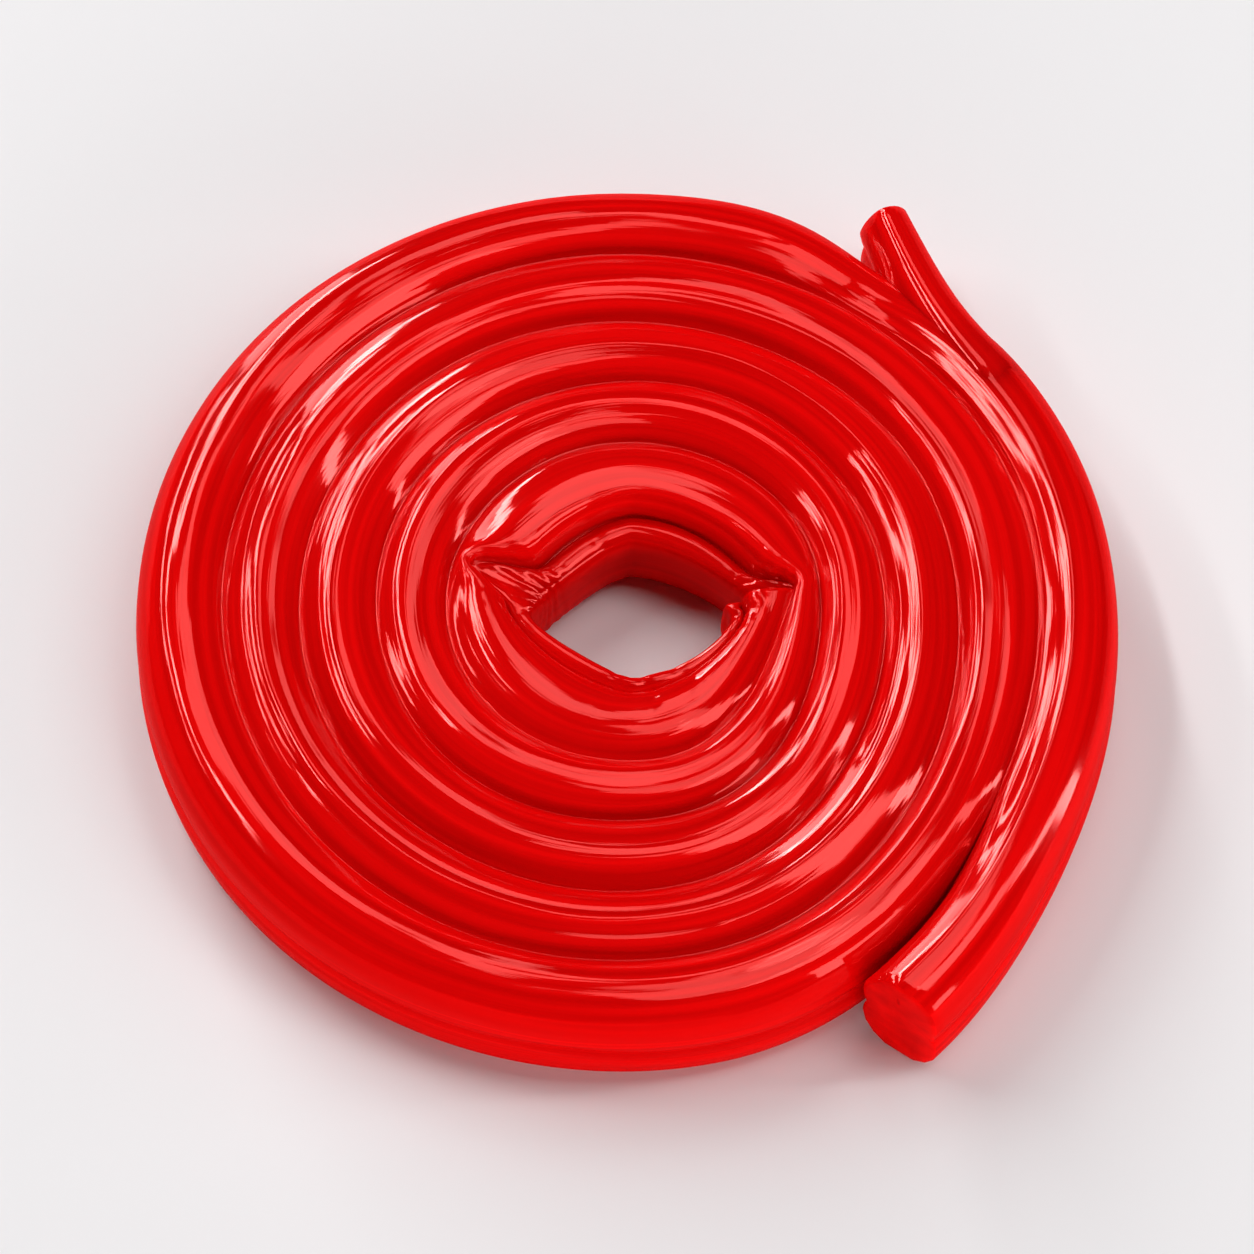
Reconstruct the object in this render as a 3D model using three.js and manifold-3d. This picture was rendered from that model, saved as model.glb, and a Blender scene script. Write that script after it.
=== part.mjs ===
import * as THREE from 'three';
import Module from 'manifold-3d';

const wasm = await Module();
wasm.setup();

// A strawberry licorice wheel: one soft ribbon, wound clockwise into a flat coil. The ribbon is two round
// cords, one above the other, and its turns are pressed into each other. A short loose tip springs off the
// rim at the back right. Millimetres, +Z up. The wheel lies on z = 0, and the middle of its outline is over
// the origin.

// The ribbon: its height over both cords, and the half width of one cord
const RIBBON_HEIGHT = 7.0;
const CORD_RADIUS = 2.3;
const CORD_OFFSET = RIBBON_HEIGHT / 2 - CORD_RADIUS; // a cord's centre, above or below the ribbon's middle
const GROOVE_DEPTH = 0.8; // from a turn's crest down to the line where it meets the next turn
const PRESSED_ARC = radians(45); // half the arc of a crest that both neighbours press. A free side has 90.
const LAND_DEPTH = 0.06; // how far the ribbon's underside is pressed flat where it rests

// The coil. Its turns are counted from the inner start, which faces START_ANGLE. The groove after a number
// of turns n has the radius BASE_RADIUS + PITCH * n + PITCH_GROWTH * n * n, where n grows unevenly:
// CLIMB_SHARE of each turn's growth is made where the ribbon climbs over its own start, and it is nearly
// round elsewhere.
const START_ANGLE = radians(6);
const STEPS_PER_TURN = 72;
const STEP_COUNT = 373;
const LAST_TURN = STEP_COUNT / STEPS_PER_TURN - 1; // where the last turn starts
const BASE_RADIUS = 4.55;
const PITCH = 3.13;
const PITCH_GROWTH = 0.118;
const CLIMB_SHARE = 0.7;
const CLIMB_FROM = -0.01; // in turns after the start's angle
const CLIMB_LENGTH = 0.25;
const RIM_SHIFT = [-0.42, -0.3]; // how far the outermost turn lies off the hub's middle
const SQUEEZE = 0.036; // the share by which the turns are pressed together beside the climb
const SQUEEZE_ANGLE = radians(-33);
const SQUEEZE_WIDTH = radians(32);

// The hole: a rounded diamond with two pinched corners, as the first turn was bent sharply round a thin pin
const HOLE_HALF_WIDTH = 5.6;
const HOLE_HALF_DEPTH = 3.95;
const HOLE_SHIFT = [0.5, 0.35];
const HOLE_SHARPNESS = 1.32; // 1 is a true diamond and 2 an ellipse
const CREASE_TURNS = [0.56, 1]; // where the two pinched corners are
const CREASE_WIDTH = 0.026; // in turns
const CREASE_REACH = 8.6; // a corner's distance from the axis
const START_STEP = [-0.2, 0.12]; // shares by which the hole is narrower at the start and wider a turn later
const START_FADE = 0.08; // turns over which the ribbon leaves that step
const START_DROP = 0.5; // how much lower the squashed start is
const START_LENGTH = 0.22;

// The first turn leans out, so that its lower cord shows inside its upper one. Pairs are values at the near
// side, -Y, and at the far side.
const LEAN_END = 1.22; // turns after which the ribbon stands upright
const WAIST_SHARES = [0.2, 0.31]; // where the upper cord ends, from the hole's edge towards the outer side
const WAIST_PLACE = radians(40); // the same place, as an angle round the lower cord from straight outwards
const LOWER_TOP = 5.2; // height of the lower cord's top
const LOWER_BOTTOM = GROOVE_DEPTH - LAND_DEPTH;
const LOWER_HALF = (LOWER_TOP - LOWER_BOTTOM) / 2;
const LOWER_MIDDLE = (LOWER_TOP + LOWER_BOTTOM) / 2;
const LOWER_POWER = 4; // of the superellipse on the lower cord's upper side, which is flat on top
const WAIST_HEIGHT = LOWER_MIDDLE + LOWER_HALF * lowerCordAt(WAIST_PLACE)[1];
const CREASE_HEIGHT = 6.2;
const CREST_SHIFTS = [0.03, -0.29]; // shares of the ribbon's width by which its crest lies further out
const CREST_FLATNESS = [0, 0.5];
const HUB_WALL_ANGLES = [66, 94, 120, 148, 182, 222].map(radians); // round the lower cord, from its top
const HUB_FOOT = 0.55; // how far the hole is wider at its lowest edge

// The outer end: it peels away from the coil over the last steps, and is cut nearly square
const PEEL_STEPS = 6;
const PEEL_GAP = 0.75;
const FLARE_STEPS = 8;
const FLARE = 0.75; // how far the end bends outwards
const CUT_STEPS = 5;
const CUT_SLANT = Math.tan(radians(24));
const RELEASE_STEPS = 5; // over which a side that nothing presses on grows round

// The loose tip: it leaves the last turn at the back right, stands out from the rim and gets thinner. The
// last turn is pressed down and in beneath it.
const TIP_SPAN = [28, 60.5].map(radians); // from its hidden root to its end
const TIP_LEAVES = radians(37);
const TIP_RADIUS = [22.9, 23.3]; // distances from the axis to its middle, at the root and past TIP_LEAVES
const TIP_REACH = 4.0; // how far its end stands out from there
const TIP_BEND = 2.3;
const TIP_HALF_WIDTH = [1.98, 1.35];
const TIP_RISE = 0.14; // how far it lies above the last turn where it leaves
const TIP_DROP = 0.45; // how much lower its end is
const TIP_STEPS = 18;
const ROOT_SHARE = 0.88; // the hidden root's share of the ribbon's width
const ROOT_DROP = 0.3; // how far the root lies under the last turn's surface
const TUCK_ANGLE = radians(56);
const TUCK_WIDTH = radians(10);
const TUCK_DOWN = 0.8;
const TUCK_IN = 0.7;

// Hand-made unevenness: each wave is [size, waves in a turn, phase]
const RADIUS_WAVES = [[0.11, 1.31, 0.4], [0.08, 2.17, 2.1], [0.045, 4.63, 5.2]];
const HEIGHT_WAVES = [[0.1, 0.83, 1.2], [0.07, 2.71, 3.9], [0.04, 5.37, 0.7]];

// Places across the ribbon, as angles round a cord from its crest
const LAND_ANGLE = Math.acos(1 - LAND_DEPTH / GROOVE_DEPTH);
const TOP_ANGLES = [-60, -30, 0, 30, 60].map(radians);
const UNDER_ANGLES = [-0.96, -LAND_ANGLE, LAND_ANGLE, 0.96];
const WAIST_ANGLE = Math.asin(CORD_OFFSET / CORD_RADIUS); // from a cord's widest place to the other cord
const WALL_ANGLES = [WAIST_ANGLE / 2, WAIST_ANGLE, WAIST_ANGLE / 2];
const CORD_SIDES = 14; // round one cord of the loose tip

const RED = 0xd60b0c;

const positions = [];
const triangles = [];

function radians(degrees) {
  return (degrees * Math.PI) / 180;
}

function clamp01(x) {
  return Math.min(1, Math.max(0, x));
}

function ease(x) {
  const c = clamp01(x);
  return c * c * (3 - 2 * c);
}

function mix(a, b, share) {
  return a + (b - a) * share;
}

function bell(distance, width) {
  return Math.exp(-((distance / width) ** 2));
}

// Sum of sine waves, which fades in over one turn
function waves(list, turn) {
  const heights = list.map(([size, rate, phase]) => size * Math.sin(2 * Math.PI * rate * turn + phase));
  return heights.reduce((sum, height) => sum + height, 0) * ease(turn);
}

function angleAt(turn) {
  return START_ANGLE - 2 * Math.PI * turn;
}

// An angle's difference from another, between -PI and PI
function angleBetween(angle, from) {
  const turn = 2 * Math.PI;
  return ((((angle - from + Math.PI) % turn) + turn) % turn) - Math.PI;
}

// Distance from the axis to the hole's side on the first turn: a superellipse, moved a little off the axis,
// with a step where the ribbon starts
function holeRadius(turn) {
  const angle = angleAt(turn);
  const across = Math.abs(Math.cos(angle) / HOLE_HALF_WIDTH) ** HOLE_SHARPNESS;
  const along = Math.abs(Math.sin(angle) / HOLE_HALF_DEPTH) ** HOLE_SHARPNESS;
  const narrower = START_STEP[0] * Math.exp(-turn / START_FADE);
  const wider = START_STEP[1] * Math.exp((turn - 1) / START_FADE);
  const radius = (across + along) ** (-1 / HOLE_SHARPNESS);
  const shift = HOLE_SHIFT[0] * Math.cos(angle) + HOLE_SHIFT[1] * Math.sin(angle);
  return radius * (1 + narrower + wider) + shift;
}

// How much of a pinched corner there is at a place on the first turn: 0 to 1
function creaseAt(turn) {
  return turn > 1 ? 0 : Math.max(...CREASE_TURNS.map((place) => bell(turn - place, CREASE_WIDTH)));
}

// Counts the turns for the coil's growth, with most of it where the ribbon climbs over its start
function grownTurns(turn) {
  const whole = Math.floor(turn - CLIMB_FROM);
  const climbed = whole + ease((turn - CLIMB_FROM - whole) / CLIMB_LENGTH);
  return mix(turn, climbed - 0.5, CLIMB_SHARE);
}

function spiralRadius(turn) {
  const n = grownTurns(turn);
  const angle = angleAt(turn);
  const even = BASE_RADIUS + PITCH * n + PITCH_GROWTH * n * n;
  const outwards = clamp01(n / (STEP_COUNT / STEPS_PER_TURN));
  const shift = outwards * (RIM_SHIFT[0] * Math.cos(angle) + RIM_SHIFT[1] * Math.sin(angle));
  const squeeze = 1 - SQUEEZE * bell(angleBetween(angle, SQUEEZE_ANGLE), SQUEEZE_WIDTH);
  return even * squeeze + shift + waves(RADIUS_WAVES, turn - 1);
}

// Radius of the groove on the ribbon's inner side. The first turn's is the edge of the hole.
function grooveRadius(turn) {
  const edge = (at) => mix(holeRadius(at), CREASE_REACH, creaseAt(at));
  if (turn <= 1) {
    return edge(turn);
  }
  return spiralRadius(turn) + (edge(1) - spiralRadius(1)) * Math.exp((1 - turn) / START_FADE);
}

// Radius of the same groove on the underside, where the hole has no corners
function footRadius(turn) {
  if (turn <= 1) {
    return holeRadius(turn) + HUB_FOOT;
  }
  const gap = grooveRadius(1) - holeRadius(1) - HUB_FOOT;
  return grooveRadius(turn) - gap * Math.exp((1 - turn) / START_FADE);
}

function crestHeight(turn) {
  const drop = START_DROP * (1 - ease(turn / START_LENGTH));
  return RIBBON_HEIGHT - drop + waves(HEIGHT_WAVES, turn);
}

// A place round the first turn's lower cord, as shares of its half width and half height: a superellipse on
// its upper side, and an ellipse below
function lowerCordAt(angle) {
  const [across, up] = [Math.cos(angle), Math.sin(angle)];
  const power = up > 0 ? LOWER_POWER : 2;
  const size = (Math.abs(across) ** power + Math.abs(up) ** power) ** (-1 / power);
  return [across * size, up * size];
}

// How far towards the far side a place is: 0 to 1
function farAt(turn) {
  return 0.5 + 0.5 * Math.sin(angleAt(turn));
}

// How much the ribbon leans: 1 in the first turn, and 0 once it stands upright
function leanAt(turn) {
  return 1 - ease((turn - 0.92) / (LEAN_END - 0.92));
}

// Height of the groove on the ribbon's inner side, which is the waist between its cords in the first turn
function grooveHeight(turn) {
  if (turn <= 1) {
    return mix(WAIST_HEIGHT, CREASE_HEIGHT, creaseAt(turn));
  }
  return mix(crestHeight(turn) - GROOVE_DEPTH, CREASE_HEIGHT, leanAt(turn));
}

// How much the last turn is tucked in under the loose tip: 0 to 1
function tuckAt(turn) {
  return turn < LAST_TURN ? 0 : bell(angleBetween(angleAt(turn), TUCK_ANGLE), TUCK_WIDTH);
}

// How far an open side has grown round: 0 where it is still pressed by its neighbour, 1 where it is free
function release(step, from) {
  return ease((step - from) / RELEASE_STEPS);
}

// Radii and heights of one cross-section of the ribbon, at a step along it
function sectionAt(step) {
  const turn = step / STEPS_PER_TURN;
  const peelStart = STEP_COUNT - PEEL_STEPS;
  const flare = FLARE * clamp01((step - (STEP_COUNT - FLARE_STEPS)) / FLARE_STEPS) ** 2;
  const peel = PEEL_GAP * clamp01((step - peelStart) / PEEL_STEPS) ** 1.5;
  const tuck = tuckAt(turn);
  const outwards = flare - TUCK_IN * tuck;
  const inner = grooveRadius(turn) + peel;
  const outer = grooveRadius(turn + 1) + outwards;
  const foot = footRadius(turn) + peel;
  const outerFoot = footRadius(turn + 1) + outwards;
  const inHub = turn <= 1;
  const crease = creaseAt(turn);
  const far = farAt(turn);
  const lean = leanAt(turn);
  const waist = inHub ? mix(inner, outer, mix(...WAIST_SHARES, far)) : inner;
  const innerFree = release(step, peelStart);
  const outerFree = release(step, peelStart - STEPS_PER_TURN);
  const pressedDepth = (free) => mix(GROOVE_DEPTH, CORD_RADIUS, free);
  const crest = crestHeight(turn) - TUCK_DOWN * tuck;
  return {
    step,
    turn,
    outer,
    inner: inHub ? mix(waist, inner, crease) : inner,
    hole: inHub ? holeRadius(turn) : inner,
    middle: (inner + outer) / 2,
    crestShare: 0.5 + mix(...CREST_SHIFTS, far) * lean,
    flatness: mix(...CREST_FLATNESS, far) * lean,
    crest,
    innerFree,
    outerFree,
    innerRound: Math.max(innerFree, lean),
    innerTop: mix(grooveHeight(turn), crest - CORD_RADIUS, innerFree),
    outerTop: mix(grooveHeight(turn + 1), crest - CORD_RADIUS, outerFree),
    innerUnder: pressedDepth(innerFree) - LAND_DEPTH,
    outerUnder: pressedDepth(outerFree) - LAND_DEPTH,
    foot,
    outerFoot,
  };
}

// Adds a point of a section at a radius and a height, and gives its number. In the last steps, points
// outside the ribbon's middle stay back and points inside it run on, which slants the cut.
function addPoint(s, radius, height) {
  const share = ease((s.step - (STEP_COUNT - CUT_STEPS)) / CUT_STEPS);
  const back = (share * CUT_SLANT * (radius - s.middle)) / radius;
  const angle = angleAt(s.turn) + back;
  positions.push(radius * Math.cos(angle), radius * Math.sin(angle), height);
  return positions.length / 3 - 1;
}

// Share of the height from the crest down to an edge, at a share of the way out: an arc, which is a quarter
// of an ellipse on a round side
function arcDrop(out, round) {
  const sine = mix(Math.sin(PRESSED_ARC), 1, round);
  return (1 - Math.sqrt(1 - (sine * out) ** 2)) / (1 - Math.sqrt(1 - sine ** 2));
}

// Points over the top of a section, without its two edges: an arc from the crest to each edge
function topRow(s) {
  const crestRadius = mix(s.inner, s.outer, s.crestShare);
  return TOP_ANGLES.map((angle) => {
    const side = Math.sin(angle);
    const radius = mix(crestRadius, side < 0 ? s.inner : s.outer, Math.abs(side));
    const edge = side < 0 ? s.innerTop : s.outerTop;
    const out = Math.abs(side) ** (side < 0 ? 1 + s.flatness : 1);
    const drop = arcDrop(out, side < 0 ? s.innerRound : s.outerFree);
    return addPoint(s, radius, mix(s.crest, edge, drop));
  });
}

// Points over the underside of a section, which rests on a narrow flat strip
function underRow(s) {
  const middle = mix(s.foot, s.outerFoot, 0.5);
  return UNDER_ANGLES.map((angle) => {
    const side = Math.sin(angle);
    const radius = mix(middle, side < 0 ? s.foot : s.outerFoot, Math.abs(side));
    const edge = side < 0 ? s.innerUnder : s.outerUnder;
    const onLand = Math.abs(angle) <= LAND_ANGLE;
    return addPoint(s, radius, onLand ? 0 : mix(0, edge, 1 - Math.cos(angle)));
  });
}

// Points down an open side of the upright ribbon, without its two edges: the upper cord, the waist and the
// lower cord. A side is flat where a neighbour presses it, and has both cords' round form where it is free.
function wallRow(s, radius, top, under, free, direction) {
  const waist = (WALL_ANGLES.length - 1) / 2;
  return WALL_ANGLES.map((angle, place) => {
    const flat = mix(top, under, (place + 1) / (WALL_ANGLES.length + 1));
    const drop = CORD_RADIUS * Math.sin(angle);
    const round = place > waist ? under + drop : top - drop;
    const height = place === waist ? (top + under) / 2 : round;
    const inset = direction * CORD_RADIUS * (1 - Math.cos(angle)) * free;
    return addPoint(s, radius - inset, mix(flat, height, free));
  });
}

// Points down the side of the hole, without its two edges: the lower cord, which lies nearer the middle. At
// a pinched corner its upper side is lifted into a crease.
function hubWallRow(s) {
  const widest = 1 + lowerCordAt(WAIST_PLACE)[0];
  return HUB_WALL_ANGLES.map((angle) => {
    const [across, up] = lowerCordAt(angle);
    const share = (1 + across) / widest;
    const width = up > 0 ? (s.inner - s.hole) / widest : s.foot - s.hole;
    const lift = up > 0 ? (s.innerTop - WAIST_HEIGHT) * share ** 3 : 0;
    return addPoint(s, s.hole + width * (1 + across), LOWER_MIDDLE + LOWER_HALF * up + lift);
  });
}

// Joins two rows of points by a strip of triangles. Rows run outwards over the top, and down a wall.
function joinRows(first, second, reversed) {
  for (let i = 0; i + 1 < first.length; i += 1) {
    const quad = [first[i], second[i], second[i + 1], first[i + 1]];
    if (reversed) {
      quad.reverse();
    }
    triangles.push(quad[0], quad[1], quad[2], quad[0], quad[2], quad[3]);
  }
}

function joinAll(rows, reversed) {
  for (let i = 0; i + 1 < rows.length; i += 1) {
    joinRows(rows[i], rows[i + 1], reversed);
  }
}

// Cuts a flat outline into triangles that turn one way, and gives the numbers of their corners
function fillOutline(flat, counterClockwise) {
  return THREE.ShapeUtils.triangulateShape(flat, []).map((face) => {
    const [a, b, c] = face.map((corner) => flat[corner]);
    const turnsLeft = b.clone().sub(a).cross(c.clone().sub(a)) > 0;
    return turnsLeft === counterClockwise ? face : [...face].reverse();
  });
}

// Closes a cut end of the coil, in the section's own plane
function addCap(outline, facesForward) {
  const flat = outline.map((index) => {
    const [x, y, z] = positions.slice(3 * index, 3 * index + 3);
    return new THREE.Vector2(Math.hypot(x, y), z);
  });
  for (const face of fillOutline(flat, facesForward)) {
    triangles.push(...face.map((corner) => outline[corner]));
  }
}

// Builds the whole coil. Neighbouring turns share the points of the groove between them, up to the place
// where the outer end peels away. From there on, both the coil's rim and the peeling end have open sides.
function buildCoil() {
  const peelStart = STEP_COUNT - PEEL_STEPS;
  const rimStart = peelStart - STEPS_PER_TURN;
  const sections = Array.from({ length: STEP_COUNT + 1 }, (_, step) => sectionAt(step));
  const innerEdges = sections.map((s) => [
    addPoint(s, s.inner, s.innerTop),
    addPoint(s, s.foot, s.innerUnder),
  ]);
  const outerEdges = sections.map((s) => (s.step <= rimStart
    ? innerEdges[s.step + STEPS_PER_TURN]
    : [addPoint(s, s.outer, s.outerTop), addPoint(s, s.outerFoot, s.outerUnder)]));
  const top = sections.map((s, i) => [innerEdges[i][0], ...topRow(s), outerEdges[i][0]]);
  const under = sections.map((s, i) => [innerEdges[i][1], ...underRow(s), outerEdges[i][1]]);
  const hubWalls = sections.slice(0, STEPS_PER_TURN + 1)
    .map((s, i) => [innerEdges[i][0], ...hubWallRow(s), innerEdges[i][1]]);
  const peelWalls = sections.slice(peelStart).map((s) => [
    innerEdges[s.step][0],
    ...wallRow(s, s.inner, s.innerTop, s.innerUnder, s.innerFree, -1),
    innerEdges[s.step][1],
  ]);
  const rimWalls = sections.slice(rimStart).map((s) => (s.step === rimStart ? peelWalls[0] : [
    outerEdges[s.step][0],
    ...wallRow(s, s.outer, s.outerTop, s.outerUnder, s.outerFree, 1),
    outerEdges[s.step][1],
  ]));

  for (const rows of [top, rimWalls]) {
    joinAll(rows, false);
  }
  for (const rows of [under, hubWalls, peelWalls]) {
    joinAll(rows, true);
  }

  const startCap = [
    ...under[0],
    ...hubWalls.at(-1).slice(1, -1).reverse(),
    ...[...top[0]].reverse(),
    ...hubWalls[0].slice(1, -1),
  ];
  const endCap = [
    ...under[STEP_COUNT],
    ...rimWalls.at(-1).slice(1, -1).reverse(),
    ...[...top[STEP_COUNT]].reverse(),
    ...peelWalls.at(-1).slice(1, -1),
  ];
  addCap(startCap, false);
  addCap(endCap, true);
}

// Outline of the free ribbon, with a half width of 1 and a height of 1: the upper cord from its right waist
// over the top to its left waist, and the lower cord back
function ribbonOutline() {
  const places = Array.from({ length: CORD_SIDES }, (_, side) => side / CORD_SIDES);
  const upper = places.map((place) => mix(-WAIST_ANGLE, Math.PI + WAIST_ANGLE, place));
  const lower = places.map((place) => mix(Math.PI - WAIST_ANGLE, 2 * Math.PI + WAIST_ANGLE, place));
  const point = (angle, offset) => {
    const height = RIBBON_HEIGHT / 2 + offset + CORD_RADIUS * Math.sin(angle);
    return new THREE.Vector2(Math.cos(angle), Math.max(height - LAND_DEPTH, 0) / RIBBON_HEIGHT);
  };
  return [
    ...upper.map((angle) => point(angle, CORD_OFFSET)),
    ...lower.map((angle) => point(angle, -CORD_OFFSET)),
  ];
}

// Places of the loose tip's outline at an angle round the wheel
function tipSection(angle, outline) {
  const rootedAt = (at) => 1 - ease((at - TIP_SPAN[0]) / (TIP_LEAVES - TIP_SPAN[0]));
  const shareAt = (at) => clamp01((at - TIP_LEAVES) / (TIP_SPAN[1] - TIP_LEAVES));
  const middleAt = (at) => {
    const radius = mix(TIP_RADIUS[1], TIP_RADIUS[0], rootedAt(at)) + TIP_REACH * shareAt(at) ** TIP_BEND;
    return new THREE.Vector2(radius * Math.cos(at), radius * Math.sin(at));
  };
  const middle = middleAt(angle);
  const along = middle.clone().sub(middleAt(angle - 0.001)).normalize();
  const rooted = rootedAt(angle);
  const share = shareAt(angle);
  const halfWidth = mix(...TIP_HALF_WIDTH, share) * mix(1, ROOT_SHARE, rooted);
  const turn = (START_ANGLE - angle) / (2 * Math.PI) + 5;
  const height = crestHeight(turn) + mix(TIP_RISE, -ROOT_DROP, rooted) - TIP_DROP * share;
  return outline.map(({ x, y }) => {
    const outwards = x * halfWidth;
    return [middle.x + along.y * outwards, middle.y - along.x * outwards, y * height];
  });
}

// Builds the loose tip as a closed sweep, with points and triangles of its own
function buildTip() {
  const outline = ribbonOutline();
  const sides = outline.length;
  const angles = Array.from({ length: TIP_STEPS + 1 }, (_, step) => mix(...TIP_SPAN, step / TIP_STEPS));
  const points = angles.flatMap((angle) => tipSection(angle, outline)).flat();
  const faces = [];
  for (let row = 0; row < TIP_STEPS; row += 1) {
    for (let side = 0; side < sides; side += 1) {
      const next = (side + 1) % sides;
      const [a, b] = [row * sides + side, row * sides + next];
      faces.push(a, b + sides, b, a, a + sides, b + sides);
    }
  }
  const last = TIP_STEPS * sides;
  faces.push(...fillOutline(outline, true).flat());
  faces.push(...fillOutline(outline, false).flat().map((corner) => last + corner));
  return solidOf(points, faces);
}

function solidOf(points, faces) {
  const vertProperties = new Float32Array(points);
  const triVerts = new Uint32Array(faces);
  return new wasm.Manifold(new wasm.Mesh({ numProp: 3, vertProperties, triVerts }));
}

// The finished solid, moved so that the middle of its outline is over the origin
function wheelGeometry() {
  buildCoil();
  const joined = solidOf(positions, triangles).add(buildTip()).getMesh();
  const geometry = new THREE.BufferGeometry();
  geometry.setAttribute('position', new THREE.Float32BufferAttribute(joined.vertProperties, 3));
  geometry.setIndex([...joined.triVerts]);
  geometry.computeBoundingBox();
  const centre = geometry.boundingBox.getCenter(new THREE.Vector3());
  geometry.translate(-centre.x, -centre.y, 0);
  geometry.computeVertexNormals();
  return geometry;
}

const candy = new THREE.MeshStandardMaterial({ color: RED, roughness: 0.22, metalness: 0 });
const wheel = new THREE.Mesh(wheelGeometry(), candy);
wheel.name = 'licorice_wheel';

const model = new THREE.Group();
model.add(wheel);

export default model;
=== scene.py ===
"""Looks of a strawberry licorice wheel: a glossy red ribbon of two cords, wound clockwise into a flat coil.

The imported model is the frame. Its one solid is replaced by a fine closed surface of the same form, worked out
by the same formulas, with the drawn lines, ripples and creases that the soft gum has, and dressed in a
wet-looking strawberry red.
"""

import logging
import math
from dataclasses import dataclass, field
from enum import Enum

import bpy
import numpy as np
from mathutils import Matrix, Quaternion, Vector


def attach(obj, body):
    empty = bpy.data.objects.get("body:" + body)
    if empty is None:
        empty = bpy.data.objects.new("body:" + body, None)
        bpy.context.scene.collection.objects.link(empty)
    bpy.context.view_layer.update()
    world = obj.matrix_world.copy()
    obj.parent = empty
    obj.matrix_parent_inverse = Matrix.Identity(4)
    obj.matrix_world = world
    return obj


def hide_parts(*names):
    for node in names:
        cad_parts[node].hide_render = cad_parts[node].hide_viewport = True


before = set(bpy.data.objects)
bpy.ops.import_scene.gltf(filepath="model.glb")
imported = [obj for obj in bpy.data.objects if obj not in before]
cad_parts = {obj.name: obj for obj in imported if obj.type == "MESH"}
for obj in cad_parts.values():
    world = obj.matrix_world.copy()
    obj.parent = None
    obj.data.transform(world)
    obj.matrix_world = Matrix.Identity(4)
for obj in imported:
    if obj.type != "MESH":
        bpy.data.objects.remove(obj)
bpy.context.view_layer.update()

LOG = logging.getLogger("licorice_wheel")
MM = 0.001
NODE = "licorice_wheel"
UV_NAME = "ribbon"
SMALL_ANGLE = 0.001
TINY = 1e-9
WATTS_TO_GLOW = 4.0

Colour = tuple[float, float, float, float]
Waves = tuple[tuple[float, float, float], ...]
Sections = dict[str, np.ndarray]


def ease(x: np.ndarray) -> np.ndarray:
    """Smooth step: 3 x^2 - 2 x^3, with x held between 0 and 1."""
    c = np.clip(x, 0.0, 1.0)
    return c * c * (3.0 - 2.0 * c)


def mix(a: np.ndarray, b: np.ndarray, share: np.ndarray) -> np.ndarray:
    """Go from a to b by a share."""
    return a + (b - a) * share


def bell(distance: np.ndarray, width: float) -> np.ndarray:
    """Bell curve: 1 at no distance, and 1/e at one width."""
    return np.exp(-((distance / width) ** 2))


class Face(Enum):
    """Which way a strip of the ribbon's surface faces: its place in the UV map, in ribbon widths."""

    TOP = 0
    OUTER = 1
    UNDER = 2
    INNER = 3
    CUT = 4


@dataclass(frozen=True)
class RibbonForm:
    """The ribbon's cross-section, in millimetres: two round cords, one above the other."""

    height: float = 7.0
    cord_radius: float = 2.3
    groove_depth: float = 0.8
    pressed_arc: float = math.radians(45.0)
    land_depth: float = 0.06
    waist_softness: float = 0.22

    @property
    def waist_angle(self) -> float:
        """Angle round a cord from its widest place to where it meets the other cord."""
        return math.asin((self.height / 2.0 - self.cord_radius) / self.cord_radius)

    @property
    def land_angle(self) -> float:
        """Angle round a cord, from its lowest line, over which it is pressed flat."""
        return math.acos(1.0 - self.land_depth / self.groove_depth)

    def arc_drop(self, out: np.ndarray, round_share: np.ndarray) -> np.ndarray:
        """Share of the height from the crest down to an edge.

        The crest is an arc: 1 - sqrt(1 - (sine * out)^2), scaled to reach 1 at the edge. Its half angle
        grows from the pressed arc's to a quarter circle's on a round side.

        Args:
            out: Share of the way out from the crest to the edge.
            round_share: How round that side is: 0 where a neighbour presses it, and 1 where it is free.

        Returns:
            Shares from 0 to 1.
        """
        sine = mix(math.sin(self.pressed_arc), 1.0, round_share)
        return (1.0 - np.sqrt(1.0 - (sine * out) ** 2)) / (1.0 - np.sqrt(1.0 - sine**2))


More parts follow.
